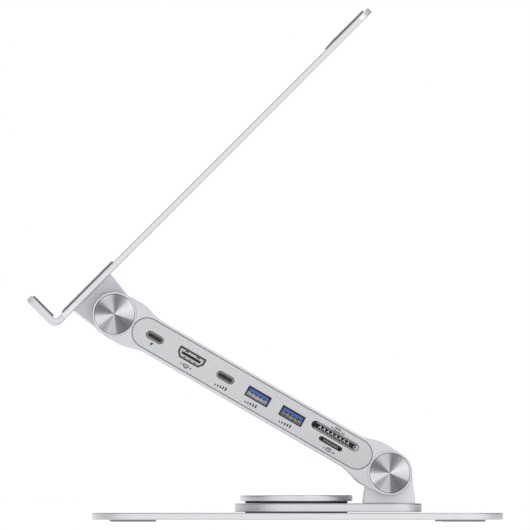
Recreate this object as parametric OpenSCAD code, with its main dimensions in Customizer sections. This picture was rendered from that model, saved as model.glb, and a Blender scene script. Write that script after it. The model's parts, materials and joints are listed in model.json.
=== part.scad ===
// Laptop docking station: a folding aluminium laptop stand on a turntable, whose arm holds a port hub.
// X runs from the user (-X) to the back (+X), Y runs across the tray, Z is up.
// The origin is on the desk, on the axis of the turntable.

/* [Base] */
// Length of the base plate, front to back
base_l = 210; // [180:1:211]
// Width of the base plate, side to side
base_w = 208; // [180:1:210]
// Corner radius of the base plate
base_corner = 24; // [10:1:30]
// Thickness of the base plate
base_t = 3.5; // [3:0.05:4]
// Height of the base plate above the desk
foot_gap = 0.95; // [0.6:0.05:1.5]
// Radius of each rubber foot
foot_r = 11.3; // [8:0.05:14]

/* [Turntable] */
// Half width of the turntable plate, and radius of its round end
turn_r = 31.7; // [28:0.1:34]
// Distance from the turntable axis to the back end of its plate
turn_back = 64.4; // [62:0.1:70]
// Thickness of the turntable plate
turn_t = 4.4; // [3.5:0.1:5]
// Radius of the friction rings
ring_r = 26.4; // [20:0.1:28]
// Radius of the round cap
cap_r = 29; // [27:0.1:31]
// Thickness of the round cap
cap_t = 3.1; // [2.5:0.1:4]
// Radius of the spindle
spindle_r = 12; // [10:0.5:14]

/* [Arm] */
// Distance between the two hinge axes
arm_l = 163.8; // [150:0.1:180]
// Rise of the arm from the desk plane, in degrees
arm_angle = 30; // [20:1:40]
// Overall width of the arm
arm_w = 60; // [56:1:70]
// Half thickness of the arm between its heads
arm_half = 9.1; // [9:0.1:10]
// Half thickness of the heads where they bulge
head_half = 12; // [11.6:0.1:12.5]
// Radius of the round ends about each hinge
ear_r = 11.5; // [11.4:0.1:11.8]
// Distance of the lower hinge behind the turntable axis
hinge_x = 47.7; // [46:0.1:50]
// Height of the lower hinge above the desk
hinge_z = 25; // [25:0.1:27]
// Radius of the hinge shafts
shaft_r = 4; // [3:0.5:4]
// Radius of the hinge caps
knob_r = 10.35; // [10:0.05:10.4]

/* [Port panels] */
// Half height of the panels, and radius of their round ends
panel_r = 7.65; // [7.5:0.05:7.7]
// Distance from each hinge to the centre of the panel's round end
panel_end = 19.4; // [19:0.1:21]
// Thickness of the panels
panel_t = 2.4; // [2:0.1:2.5]

/* [Tray] */
// Rise of the tray from the desk plane, in degrees
tray_angle = 45; // [35:1:50]
// Width of the tray
tray_w = 240; // [200:1:250]
// Thickness of the tray and of its hooks
tray_t = 3.1; // [2.5:0.1:3.5]
// Distance from the upper hinge to the underside of the tray
tray_h = 16.1; // [16:0.1:17]
// Distance from the upper hinge to the front edge of the tray
tray_front = 19.7; // [19.5:0.1:22]
// Distance from the upper hinge to the top edge of the tray
tray_back = 201.8; // [190:0.1:205]
// Corner radius of the tray
tray_corner = 9; // [6:1:20]
// Number of air slots in the tray
slot_count = 7; // [3:2:7]
// Width of each hook
hook_w = 38; // [30:1:50]
// Distance from the middle of the tray to the middle of each hook
hook_y = 42; // [40:1:80]
// Height of the hooks above the tray
hook_h = 17.9; // [14:0.1:20]

/* [Hidden] */
$fn = 72;
e = 0.01;

// heights of the base stack
base_top = foot_gap + base_t;
turn_z = base_top + 0.55;
turn_top = turn_z + turn_t;
cap_z = turn_top + 1.1;
foot_in = 0.4;

// clearances: fixed joints between neighbours, and running fits on shafts
fix = 0.02;
run = 0.04;

// upper hinge
top_x = hinge_x - arm_l * cos(arm_angle);
top_z = hinge_z + arm_l * sin(arm_angle);

// arm sections across Y
half_w = arm_w / 2;
fork_y = half_w - 9.6;      // inner face of the ears
knuckle_y = fork_y - 0.5;   // half length of the bracket knuckles
knuckle_r = 11.3;
nut_y = half_w - 5.8;       // floor of the nut pocket
cap_y = half_w - 1.6;       // floor of the cap seat
slot_end = 13.8;            // the fork is open this far along the arm
core_end = 16;              // the board bay starts this far along the arm
core_half = 6.9;
seat = 2.5;                 // depth of the panel seats
board_lo = -1.1;
board_hi = 0.42;

// ports: place along the arm from the upper hinge, and offset from its axis
c_power = [24.1, 0];
hdmi_at = [45.4, 0.4];
c_data = [65.9, 0.2];
a_one = [85.3, 0.25];
a_two = [105.5, 0.25];
sd_at = [129.9, 2.4];
tf_at = [129.9, -2.2];
port_face = half_w - 0.2;   // the ports end this far from the middle

// countersunk screw
screw_r = 1.5;
head_r = 2.8;
head_h = 1.5;

module at_arm() translate([top_x, 0, top_z]) rotate([0, arm_angle, 0]) children();
module at_tray() translate([top_x, 0, top_z]) rotate([0, -tray_angle, 0]) children();
module at_lower_hinge() translate([hinge_x, 0, hinge_z]) children();

// the same thing at +Y and, mirrored, at -Y
module both_sides() {
  children();
  mirror([0, 1, 0]) children();
}

// extrudes a drawing in the XZ plane from y0 to y1
module slab_y(y0, y1) rotate([90, 0, 0]) translate([0, 0, -y1]) linear_extrude(y1 - y0) children();
// a round bar along Y from y0 to y1
module bar_y(r, y0, y1) translate([0, y0, 0]) rotate([-90, 0, 0]) cylinder(r = r, h = y1 - y0);

// rounded rectangle between two corners
module round_rect(x0, y0, x1, y1, r) {
  translate([x0 + r, y0]) square([x1 - x0 - 2 * r, y1 - y0]);
  translate([x0, y0 + r]) square([x1 - x0, y1 - y0 - 2 * r]);
  for (x = [x0 + r, x1 - r], y = [y0 + r, y1 - r]) translate([x, y]) circle(r);
}
// slot outline with round ends, centred on a point
module pill(p, w, h) translate(p) {
  square([w - h, h], center = true);
  for (s = [-1, 1]) translate([s * (w - h) / 2, 0]) circle(d = h);
}
// countersunk screw standing head up, its head flush with z = 0
module screw(len) {
  translate([0, 0, -head_h]) cylinder(r1 = screw_r, r2 = head_r, h = head_h);
  translate([0, 0, -len]) cylinder(r = screw_r, h = len - head_h + e);
}
// hole for that screw, long enough to leave its tip free
module screw_hole(len) {
  translate([0, 0, -head_h]) cylinder(r1 = screw_r, r2 = 2 * head_r - screw_r, h = 2 * head_h);
  translate([0, 0, -len - 0.3]) cylinder(r = screw_r + fix, h = len + 0.3 - head_h + 0.1);
}

// ---------------------------------------------------------------- base
foot_x = 84.5;
foot_y = base_w / 2 - 21;

module feet_at() for (x = [-foot_x, foot_x], y = [-foot_y, foot_y]) translate([x, y, 0]) children();
module spindle_screws_at() for (a = [0, 120, 240]) rotate([0, 0, a]) translate([8, 0, 0]) children();

module base_plate() color([0.88, 0.89, 0.91]) difference() {
  translate([0, 0, foot_gap]) linear_extrude(base_t)
    round_rect(-base_l / 2, -base_w / 2, base_l / 2, base_w / 2, base_corner);
  feet_at() cylinder(r = foot_r + 0.05, h = foot_gap + foot_in);
  translate([0, 0, foot_gap]) mirror([0, 0, 1]) spindle_screws_at() screw_hole(12);
}

module base_feet() color([0.2, 0.2, 0.22]) feet_at() cylinder(r = foot_r, h = foot_gap + foot_in);

module spindle() color([0.7, 0.71, 0.73]) difference() {
  translate([0, 0, base_top]) cylinder(r = spindle_r, h = cap_z - base_top);
  translate([0, 0, foot_gap]) mirror([0, 0, 1]) spindle_screws_at() screw_hole(12);
}

module friction_ring(z0, z1) color([0.2, 0.2, 0.22]) difference() {
  translate([0, 0, z0]) cylinder(r = ring_r, h = z1 - z0);
  translate([0, 0, z0 - 1]) cylinder(r = spindle_r + 0.1, h = z1 - z0 + 2);
}
module lower_friction_ring() friction_ring(base_top, turn_z - fix);
module upper_friction_ring() friction_ring(turn_top + fix, cap_z);

module turntable_cap() color([0.8, 0.81, 0.84]) difference() {
  translate([0, 0, cap_z]) cylinder(r = cap_r, h = cap_t);
  // shallow turned dish in the top
  translate([0, 0, cap_z + cap_t - 0.4]) cylinder(r = cap_r - 5, h = 1);
  translate([0, 0, foot_gap]) mirror([0, 0, 1]) spindle_screws_at() screw_hole(11.2);
}

module spindle_screws() color([0.5, 0.5, 0.52])
  translate([0, 0, foot_gap]) mirror([0, 0, 1]) spindle_screws_at() screw(11);

// ----------------------------------------------------------- turntable
module bracket_screws_at() for (x = [-7, 7], y = [-12, 12]) translate([x, y, 0]) children();

module turntable_plate() color([0.82, 0.83, 0.86]) difference() {
  translate([0, 0, turn_z]) linear_extrude(turn_t) {
    circle(turn_r);
    round_rect(0, -turn_r, turn_back, turn_r, 15);
    translate([0, -turn_r]) square([20, 2 * turn_r]);
  }
  translate([0, 0, turn_z - 1]) cylinder(r = spindle_r + 3 + fix, h = turn_t + 2);
  translate([hinge_x, 0, turn_z]) mirror([0, 0, 1]) bracket_screws_at() screw_hole(11);
}

module turntable_bush() color([0.93, 0.93, 0.9]) difference() {
  translate([0, 0, turn_z]) cylinder(r = spindle_r + 3, h = turn_t);
  translate([0, 0, turn_z - 1]) cylinder(r = spindle_r + run, h = turn_t + 2);
}

// bracket with its knuckle about the origin and its foot at z = -h
module bracket(h) difference() {
  slab_y(-knuckle_y, knuckle_y) hull() {
    circle(r = knuckle_r, $fn = 96);
    translate([-13.25, -h]) square([26.5, 2]);
  }
  bar_y(shaft_r + run, -knuckle_y - 1, knuckle_y + 1);
}

module lower_bracket() color([0.76, 0.77, 0.8]) difference() {
  at_lower_hinge() bracket(hinge_z - turn_top);
  translate([hinge_x, 0, turn_z]) mirror([0, 0, 1]) bracket_screws_at() screw_hole(11);
}

module lower_bracket_screws() color([0.5, 0.5, 0.52])
  translate([hinge_x, 0, turn_z]) mirror([0, 0, 1]) bracket_screws_at() screw(11);

// ----------------------------------------------------------------- arm
// half thickness of a head, x along the arm from its hinge
function head_w(x) =
  x < 9 ? ear_r + (head_half - ear_r) * sin(10 * x)
        : head_half - (head_half - arm_half) * (1 - cos(12 * (x - 9))) / 2;

module arm_outline() polygon(concat(
  [for (a = [264:-6:96]) ear_r * [cos(a), sin(a)]],
  [for (x = [0:1.5:24]) [x, head_w(x)]],
  [for (x = [24:-1.5:0]) [arm_l - x, head_w(x)]],
  [for (a = [84:-6:-84]) [arm_l + ear_r * cos(a), ear_r * sin(a)]],
  [for (x = [0:1.5:24]) [arm_l - x, -head_w(x)]],
  [for (x = [24:-1.5:0]) [x, -head_w(x)]]
));
module stadium(r) {
  translate([panel_end, -r]) square([arm_l - 2 * panel_end, 2 * r]);
  for (x = [panel_end, arm_l - panel_end]) translate([x, 0]) circle(r);
}
// the fork about a hinge: a round seat for the knuckle, opened on one side for the bracket's swing
module fork_gap() {
  circle(r = knuckle_r + 0.5, $fn = 96);
  translate([-20, -20]) square([25, 40]);
  translate([-20, 0]) square([20 + slot_end, 20]);
}
// each hinge in turn, seen so that the bracket's swing is on the same side
module hinges() {
  children();
  translate([arm_l, 0, 0]) rotate([0, 180, 0]) children();
}

module arm_housing() color([0.87, 0.875, 0.9]) at_arm() difference() {
  slab_y(-half_w, half_w) arm_outline();
  both_sides() {
    slab_y(half_w - seat, half_w + 1) stadium(panel_r + 0.35);
    slab_y(fork_y + 1.2, half_w) stadium(core_half);
  }
  slab_y(-fork_y - 1.2, fork_y + 1.2) translate([core_end, -core_half])
    square([arm_l - 2 * core_end, 2 * core_half]);
  // grooves that hold the two ends of the board
  slab_y(-fork_y - 1.2, fork_y + 1.2) translate([core_end - 1.1, board_lo - 0.05])
    square([arm_l - 2 * core_end + 2.2, board_hi - board_lo + 0.1]);
  hinges() {
    slab_y(-fork_y, fork_y) fork_gap();
    bar_y(shaft_r + fix, -half_w - 1, half_w + 1);
    both_sides() {
      bar_y(8.2, nut_y, half_w + 1);
      bar_y(knob_r + 0.15, cap_y, half_w + 1);
    }
  }
}

// outlines of the sockets, with their clearance as extra
module usb_c_outline(p, extra = 0) pill(p, 9.7 + 2 * extra, 3.7 + 2 * extra);
module hdmi_outline(p, extra = 0) {
  w = 7.5 + extra;
  h = 2.75 + extra;
  translate(p) polygon([[-w, h], [-w, -0.35], [-w + 2.1, -h], [w - 2.1, -h], [w, -0.35], [w, h]]);
}
module usb_a_outline(p, extra = 0) translate(p) square([13.1 + 2 * extra, 5.4 + 2 * extra], center = true);
module sd_outline(p, extra = 0) pill(p, 27.3 + 2 * extra, 3.95 + 2 * extra);
module tf_outline(p, extra = 0) pill(p, 13.2 + 2 * extra, 2.2 + 2 * extra);

module port_panel() color([0.79, 0.79, 0.8]) at_arm() difference() {
  slab_y(-half_w + seat - panel_t, -half_w + seat) stadium(panel_r);
  slab_y(-half_w - 1, 0) {
    usb_c_outline(c_power, 0.1);
    hdmi_outline(hdmi_at, 0.1);
    usb_c_outline(c_data, 0.1);
    usb_a_outline(a_one, 0.1);
    usb_a_outline(a_two, 0.1);
    sd_outline(sd_at, 0.1);
    tf_outline(tf_at, 0.1);
  }
}

module rear_panel() color([0.79, 0.79, 0.8]) at_arm() difference() {
  slab_y(half_w - seat, half_w - seat + panel_t) stadium(panel_r);
  slab_y(0, half_w + 1) usb_c_outline(c_power, 0.1);
}

module hinge_shaft() color([0.6, 0.6, 0.62]) difference() {
  bar_y(shaft_r, -half_w + 2, half_w - 2);
  both_sides() bar_y(1.6, half_w - 4, half_w);
}
module upper_hinge_shaft() at_arm() hinge_shaft();
module lower_hinge_shaft() at_arm() translate([arm_l, 0, 0]) hinge_shaft();

module hinge_friction_discs() color([0.25, 0.25, 0.26]) at_arm() hinges()
  both_sides() difference() {
    bar_y(9.5, knuckle_y + fix, fork_y);
    bar_y(shaft_r + fix, 0, half_w);
  }

module hinge_spring_washers() color([0.55, 0.55, 0.57]) at_arm() hinges()
  both_sides() difference() {
    bar_y(7.9, nut_y, nut_y + 0.9);
    bar_y(shaft_r + fix, 0, half_w);
  }

module hinge_nuts() color([0.62, 0.62, 0.64]) at_arm() hinges()
  both_sides() difference() {
    translate([0, nut_y + 0.9, 0]) rotate([-90, 0, 0]) cylinder(r = 7.5, h = 2.9, $fn = 6);
    bar_y(shaft_r + fix, 0, half_w);
  }

// cap with a shallow turned cone in its face
module hinge_cap() color([0.72, 0.73, 0.75]) difference() {
  bar_y(knob_r, cap_y, half_w - 0.1);
  translate([0, half_w - 0.35, 0]) rotate([-90, 0, 0]) cylinder(r1 = 0.1, r2 = knob_r - 0.6, h = 0.3);
}
module upper_hinge_caps() at_arm() both_sides() hinge_cap();
module lower_hinge_caps() at_arm() translate([arm_l, 0, 0]) both_sides() hinge_cap();

// depths of the sockets behind the port face
c_deep = 8;
hdmi_deep = 11.5;
a_deep = 14;
sd_deep = 26;
tf_deep = 15;

module socket_bays(extra) {
  slab_y(-half_w, -port_face + c_deep + extra) {
    usb_c_outline(c_power, extra);
    usb_c_outline(c_data, extra);
  }
  slab_y(-half_w, -port_face + hdmi_deep + extra) hdmi_outline(hdmi_at, extra);
  slab_y(-half_w, -port_face + a_deep + extra) {
    usb_a_outline(a_one, extra);
    usb_a_outline(a_two, extra);
  }
  slab_y(port_face - c_deep - extra, half_w) usb_c_outline(c_power, extra);
}

module main_board() color([0.08, 0.3, 0.2]) at_arm() difference() {
  translate([core_end - 1, -half_w + seat + 0.1, board_lo])
    cube([arm_l - 2 * core_end + 2, arm_w - 2 * seat - 0.2, board_hi - board_lo]);
  socket_bays(0.15);
}

module hub_chips() color([0.12, 0.12, 0.13]) at_arm() {
  for (x = [52, 92]) translate([x, 2, board_hi]) cube([9, 9, 1.1]);
  translate([34, 4, board_hi]) cube([5, 5, 1]);
  translate([72, 12, board_hi]) cube([6, 4, 1]);
}

// a socket shell: open at the port face, closed behind
module socket(deep, wall) difference() {
  slab_y(-port_face, -port_face + deep) children(0);
  slab_y(-port_face - 1, -port_face + deep - wall) children(1);
}
module usb_c_shell(p) color([0.5, 0.5, 0.52]) socket(c_deep, 0.6) {
  usb_c_outline(p);
  usb_c_outline(p, -0.5);
}
module usb_c_power_port() at_arm() usb_c_shell(c_power);
module usb_c_data_port() at_arm() usb_c_shell(c_data);
module usb_c_host_port() at_arm() mirror([0, 1, 0]) usb_c_shell(c_power);
module usb_c_tongue(p) translate([p[0] - 3.35, -port_face + 0.7, p[1] - 0.35]) cube([6.7, c_deep - 1.3, 0.7]);
module usb_c_tongues() color([0.1, 0.1, 0.1]) at_arm() {
  usb_c_tongue(c_power);
  usb_c_tongue(c_data);
  mirror([0, 1, 0]) usb_c_tongue(c_power);
}

module hdmi_port() color([0.5, 0.5, 0.52]) at_arm() socket(hdmi_deep, 0.6) {
  hdmi_outline(hdmi_at);
  hdmi_outline(hdmi_at, -0.5);
}
module hdmi_tongue() color([0.1, 0.1, 0.1]) at_arm()
  translate([hdmi_at[0] - 5.6, -port_face + 1, hdmi_at[1] - 0.5]) cube([11.2, hdmi_deep - 1.6, 1.1]);

module usb_a_shell(p) color([0.55, 0.55, 0.57]) socket(a_deep, 0.5) {
  usb_a_outline(p);
  usb_a_outline(p, -0.35);
}
module usb_a_port_1() at_arm() usb_a_shell(a_one);
module usb_a_port_2() at_arm() usb_a_shell(a_two);
module usb_a_tongues() color([0.25, 0.38, 0.72]) at_arm() for (p = [a_one, a_two])
  translate([p[0] - 5.6, -port_face + 0.8, p[1] + 0.15]) cube([11.2, a_deep - 1.3, 1.9]);

module sd_card_slot() color([0.55, 0.55, 0.57]) at_arm() socket(sd_deep, 0.5) {
  sd_outline(sd_at);
  translate([sd_at[0] - 12.2, sd_at[1] - 1.2]) square([24.4, 2.4]);
}
module micro_sd_slot() color([0.55, 0.55, 0.57]) at_arm() socket(tf_deep, 0.5) {
  tf_outline(tf_at);
  translate([tf_at[0] - 5.6, tf_at[1] - 0.5]) square([11.2, 1]);
}

// ---------------------------------------------------------------- tray
tray_top = tray_h + tray_t;
hook_out = tray_front + 7;       // outer face of the hooks
bend_r = 1.5;                    // inner radius of the bend
bend_x = -hook_out + bend_r + tray_t;
bend_z = tray_top + bend_r;
mat_t = 1;

module tray_slots() for (i = [0 : slot_count - 1])
  translate([0, (i - (slot_count - 1) / 2) * 26]) pill([96, 0], 118, 12);

// one hook: a strip that leaves the tray, bends up and ends in a rounded lip
module hook() {
  slab_y(-hook_w / 2, hook_w / 2) {
    translate([bend_x - e, tray_h]) square([12, tray_t]);
    intersection() {
      translate([bend_x, bend_z]) difference() {
        circle(bend_r + tray_t);
        circle(bend_r);
      }
      translate([bend_x - 10, bend_z - 10]) square([10, 10]);
    }
  }
  translate([-hook_out, 0, 0]) rotate([90, 0, 90]) linear_extrude(tray_t) {
    translate([-hook_w / 2, bend_z - e]) square([hook_w, tray_top + hook_h - 5 - bend_z + e]);
    translate([-hook_w / 2 + 5, bend_z]) square([hook_w - 10, tray_top + hook_h - bend_z]);
    for (s = [-1, 1]) translate([s * (hook_w / 2 - 5), tray_top + hook_h - 5]) circle(5);
  }
}

module tray_plate() color([0.88, 0.89, 0.92]) at_tray() difference() {
  union() {
    translate([0, 0, tray_h]) linear_extrude(tray_t) difference() {
      round_rect(-tray_front, -tray_w / 2, tray_back, tray_w / 2, tray_corner);
      tray_slots();
    }
    for (s = [-1, 1]) translate([0, s * hook_y, 0]) hook();
  }
  translate([0, 0, tray_top]) bracket_screws_at() screw_hole(10);
}

module upper_bracket() color([0.76, 0.77, 0.8]) at_tray() difference() {
  rotate([180, 0, 0]) bracket(tray_h);
  translate([0, 0, tray_top]) bracket_screws_at() screw_hole(10);
}

module upper_bracket_screws() color([0.5, 0.5, 0.52]) at_tray()
  translate([0, 0, tray_top]) bracket_screws_at() screw(10);

module lower_mat() color([0.4, 0.4, 0.43]) at_tray() translate([0, 0, tray_top]) linear_extrude(mat_t)
  round_rect(-tray_front + 0.7, -tray_w / 2 + 10, 17.8, tray_w / 2 - 10, 8);

module upper_mat() color([0.4, 0.4, 0.43]) at_tray() translate([0, 0, tray_top]) linear_extrude(mat_t)
  round_rect(tray_back - 27.2, -tray_w / 2 + 10, tray_back - 1.5, tray_w / 2 - 10, 8);

module hook_pads() color([0.4, 0.4, 0.43]) at_tray() for (s = [-1, 1])
  translate([-hook_out + tray_t, s * hook_y, tray_top]) rotate([90, 0, 90]) linear_extrude(0.9)
    round_rect(-hook_w / 2 + 3, 2.3, hook_w / 2 - 3, hook_h - 1.2, 3);

base_plate();
base_feet();
spindle();
lower_friction_ring();
upper_friction_ring();
turntable_cap();
spindle_screws();
turntable_plate();
turntable_bush();
lower_bracket();
lower_bracket_screws();
arm_housing();
port_panel();
rear_panel();
lower_hinge_shaft();
upper_hinge_shaft();
hinge_friction_discs();
hinge_spring_washers();
hinge_nuts();
lower_hinge_caps();
upper_hinge_caps();
main_board();
hub_chips();
usb_c_power_port();
usb_c_data_port();
usb_c_host_port();
usb_c_tongues();
hdmi_port();
hdmi_tongue();
usb_a_port_1();
usb_a_port_2();
usb_a_tongues();
sd_card_slot();
micro_sd_slot();
tray_plate();
upper_bracket();
upper_bracket_screws();
lower_mat();
upper_mat();
hook_pads();
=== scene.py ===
import json
import math

import bmesh
import bpy
from mathutils import Matrix, Vector


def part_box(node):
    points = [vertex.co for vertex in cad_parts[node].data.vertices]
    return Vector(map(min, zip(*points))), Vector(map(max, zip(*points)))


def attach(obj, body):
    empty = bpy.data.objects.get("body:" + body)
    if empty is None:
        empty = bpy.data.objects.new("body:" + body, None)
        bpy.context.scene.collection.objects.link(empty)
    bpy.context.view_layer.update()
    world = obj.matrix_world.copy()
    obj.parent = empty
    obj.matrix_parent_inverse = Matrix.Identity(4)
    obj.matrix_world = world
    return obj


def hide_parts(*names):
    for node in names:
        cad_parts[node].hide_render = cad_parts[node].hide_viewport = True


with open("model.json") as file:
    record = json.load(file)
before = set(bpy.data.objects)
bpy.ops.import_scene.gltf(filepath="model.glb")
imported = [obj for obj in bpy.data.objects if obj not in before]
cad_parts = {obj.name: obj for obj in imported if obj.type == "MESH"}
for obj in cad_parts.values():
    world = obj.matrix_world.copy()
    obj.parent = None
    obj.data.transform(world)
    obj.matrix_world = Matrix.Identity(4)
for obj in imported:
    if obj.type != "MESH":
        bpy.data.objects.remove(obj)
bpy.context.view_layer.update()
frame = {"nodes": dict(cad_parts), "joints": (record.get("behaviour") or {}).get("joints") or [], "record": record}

MM = 0.001
NODES = frame["nodes"]

# ------------------------------------------------------------------ the frame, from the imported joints
JOINTS = {j["name"]: j for j in frame["joints"]}
TOP = Vector(JOINTS["tray_tilt"]["pos_m"]) / MM
LOW = Vector(JOINTS["arm_tilt"]["pos_m"]) / MM
ARM_L = math.hypot(LOW.x - TOP.x, LOW.z - TOP.z)
ARM_A = math.atan2(TOP.z - LOW.z, LOW.x - TOP.x)


def frame_at(origin, u, w):
    """Matrix from local millimetres to metres: local X is u, local Y is world +Y, local Z is w."""
    m = Matrix((
        (u[0] * MM, 0, w[0] * MM, origin[0] * MM),
        (0, MM, 0, origin[1] * MM),
        (u[1] * MM, 0, w[1] * MM, origin[2] * MM),
        (0, 0, 0, 1),
    ))
    return m


CA, SA = math.cos(ARM_A), math.sin(ARM_A)
R2 = math.sqrt(0.5)
WORLD = frame_at((0, 0, 0), (1, 0), (0, 1))
ARM = frame_at(TOP, (CA, -SA), (SA, CA))
TRAY = frame_at(TOP, (R2, R2), (-R2, R2))
# drawings in the XZ plane, extruded along Y: (u, v, w) -> (x, -w, z)
SIDE = Matrix(((1, 0, 0, 0), (0, 0, -1, 0), (0, 1, 0, 0), (0, 0, 0, 1)))


# ------------------------------------------------------------------ outlines, in millimetres
def arc(cx, cy, r, a0, a1, n):
    return [
        (cx + r * math.cos(math.radians(a0 + (a1 - a0) * i / n)), cy + r * math.sin(math.radians(a0 + (a1 - a0) * i / n)))
        for i in range(n + 1)
    ]


def clean(loop, tol=1e-4):
    out = []
    for p in loop:
        if not out or math.dist(p, out[-1]) > tol:
            out.append(p)
    if math.dist(out[0], out[-1]) <= tol:
        out.pop()
    return out


def circle(cx, cy, r, n=72):
    return arc(cx, cy, r, 0, 360 - 360 / n, n - 1)


def rrect(x0, y0, x1, y1, r, n=12):
    return clean(
        arc(x1 - r, y0 + r, r, -90, 0, n) + arc(x1 - r, y1 - r, r, 0, 90, n)
        + arc(x0 + r, y1 - r, r, 90, 180, n) + arc(x0 + r, y0 + r, r, 180, 270, n)
    )


def pill(cx, cy, w, h, n=16):
    d = (w - h) / 2
    return clean(arc(cx + d, cy, h / 2, -90, 90, n) + arc(cx - d, cy, h / 2, 90, 270, n))


def area(loop):
    return sum(a[0] * b[1] - b[0] * a[1] for a, b in zip(loop, loop[1:] + loop[:1])) / 2


def ccw(loop):
    return loop if area(loop) > 0 else loop[::-1]


def rounded(points, r, n=5):
    """A polygon with its corners rounded."""
    pts, out = ccw(list(points)), []
    for i, p in enumerate(pts):
        a, b = Vector(pts[i - 1]), Vector(pts[(i + 1) % len(pts)])
        p = Vector(p)
        da, db = (a - p), (b - p)
        la, lb = da.length, db.length
        da.normalize(), db.normalize()
        half = math.acos(max(-1, min(1, da.dot(db)))) / 2
        t = min(r / math.tan(half), la * 0.49, lb * 0.49)
        for k in range(n + 1):
            f = k / n
            q = (p + da * t) * (1 - f) ** 2 + p * 2 * f * (1 - f) + (p + db * t) * f * f
            out.append((q.x, q.y))
    return clean(out)


def inset(loop, d):
    """loop moved d towards its inside, along the mean of its two edges' normals."""
    out, n = [], len(loop)
    for i in range(n):
        a, p, b = Vector(loop[i - 1]), Vector(loop[i]), Vector(loop[(i + 1) % n])
        e1, e2 = (p - a).normalized(), (b - p).normalized()
        n1, n2 = Vector((e1.y, -e1.x)), Vector((e2.y, -e2.x))
        m = (n1 + n2)
        if m.length < 1e-6:
            m = n1.copy()
        m.normalize()
        k = max(0.5, m.dot(n1))
        q = p - m * (d / k)
        out.append((q.x, q.y))
    return out


# ------------------------------------------------------------------ mesh makers
def link(name, mesh, mat, body, replaces=()):
    o = bpy.data.objects.new(name, mesh)
    bpy.context.scene.collection.objects.link(o)
    if mat is not None:
        o.data.materials.append(mat)
    if body:
        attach(o, body)
    if replaces:
        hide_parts(*replaces)
    return o


def bm_plate(bm, outer, holes, w0, w1, b0=0.0, b1=0.0, seg=4, hole_bevel=None, M=Matrix.Identity(4), hole_seg=None, edge=0):
    """A flat part with holes and rounded rims, drawn in local X and Y and thick along local Z. The rims take material number edge."""
    first, last = [], []
    loops = [(ccw(outer), 1.0, b0, b1, seg)]
    hb = hole_bevel if hole_bevel is not None else (b0, b1)
    loops += [(ccw(h), -1.0, hb[0], hb[1], hole_seg or seg) for h in holes]
    for loop, sign, lo, hi, sg in loops:
        rings = []
        if lo > 0:
            for k in range(sg):
                t = math.pi / 2 * k / sg
                rings.append((lo * (1 - math.sin(t)), w0 + lo * (1 - math.cos(t))))
            rings.append((0.0, w0 + lo))
        else:
            rings.append((0.0, w0))
        if hi > 0:
            rings.append((0.0, w1 - hi))
            for k in range(1, sg + 1):
                t = math.pi / 2 * k / sg
                rings.append((hi * (1 - math.cos(t)), w1 - hi * (1 - math.sin(t))))
        else:
            rings.append((0.0, w1))
        vs = []
        for d, w in rings:
            pts = inset(loop, sign * d) if d > 0 else loop
            vs.append([bm.verts.new(M @ Vector((x, y, w))) for x, y in pts])
        n = len(loop)
        for (a, b), (ra, rb) in zip(zip(vs, vs[1:]), zip(rings, rings[1:])):
            for i in range(n):
                j = (i + 1) % n
                f = bm.faces.new((a[i], a[j], b[j], b[i]) if sign > 0 else (a[j], a[i], b[i], b[j]))
                if edge and ra[0] != rb[0]:
                    f.material_index = edge
        first.append(vs[0])
        last.append(vs[-1])
    for rings, up in ((first, -1), (last, 1)):
        edges = []
        for ring in rings:
            for i in range(len(ring)):
                edges.append(bm.edges.get((ring[i], ring[(i + 1) % len(ring)])) or bm.edges.new((ring[i], ring[(i + 1) % len(ring)])))
        if len(rings) == 1:
            ring = rings[0]
            bm.faces.new(ring if up > 0 else ring[::-1])
        else:
            bmesh.ops.triangle_fill(bm, edges=edges, use_beauty=True, use_dissolve=False)
    return bm


def to_mesh(bm, name, recalc=True):
    bmesh.ops.remove_doubles(bm, verts=bm.verts, dist=1e-7)
    if recalc:
        bmesh.ops.recalc_face_normals(bm, faces=bm.faces)
    me = bpy.data.meshes.new(name)
    bm.to_mesh(me)
    bm.free()
    return me


def smooth(o, angle=35, weighted=True):
    o.data.shade_smooth()
    o.data.set_sharp_from_angle(angle=math.radians(angle))
    if weighted:
        m = o.modifiers.new("normals", "WEIGHTED_NORMAL")
        m.keep_sharp = True
        m.weight = 80
    return o


def plate(name, outer, holes, w0, w1, mat, body, slot, replaces=(), M=WORLD, angle=35, edge_mat=None, **kw):
    bm = bmesh.new()
    bm_plate(bm, outer, holes, w0, w1, M=M, edge=1 if edge_mat else 0, **kw)
    o = link(name, to_mesh(bm, name), mat, body, replaces)
    if edge_mat:
        o.data.materials.append(edge_mat)
    return smooth(o, angle)


def bm_lathe(bm, profile, n=96, M=Matrix.Identity(4), closed=False):
    """profile: (r, z) from one end to the other; revolved about local Z."""
    rings = []
    for r, z in profile:
        if r < 1e-9:
            rings.append([bm.verts.new(M @ Vector((0, 0, z)))])
        else:
            rings.append([bm.verts.new(M @ Vector((r * math.cos(2 * math.pi * i / n), r * math.sin(2 * math.pi * i / n), z))) for i in range(n)])
    pairs = list(zip(rings, rings[1:])) + ([(rings[-1], rings[0])] if closed else [])
    for a, b in pairs:
        for i in range(n):
            j = (i + 1) % n
            if len(a) == 1 and len(b) == 1:
                continue
            if len(a) == 1:
                bm.faces.new((a[0], b[j], b[i]))
            elif len(b) == 1:
                bm.faces.new((a[i], a[j], b[0]))
            else:
                bm.faces.new((a[i], a[j], b[j], b[i]))
    return bm


def rim(r, z, b, out=True, up=True, n=5):
    """Points of a rounded rim at radius r and height z."""
    pts = []
    for k in range(n + 1):
        t = math.pi / 2 * k / n
        if up:
            pts.append((r - b * (1 - math.cos(t)), z - b * (1 - math.sin(t))))
        else:
            pts.append((r - b * (1 - math.sin(t)), z + b * (1 - math.cos(t))))
    return pts


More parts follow.
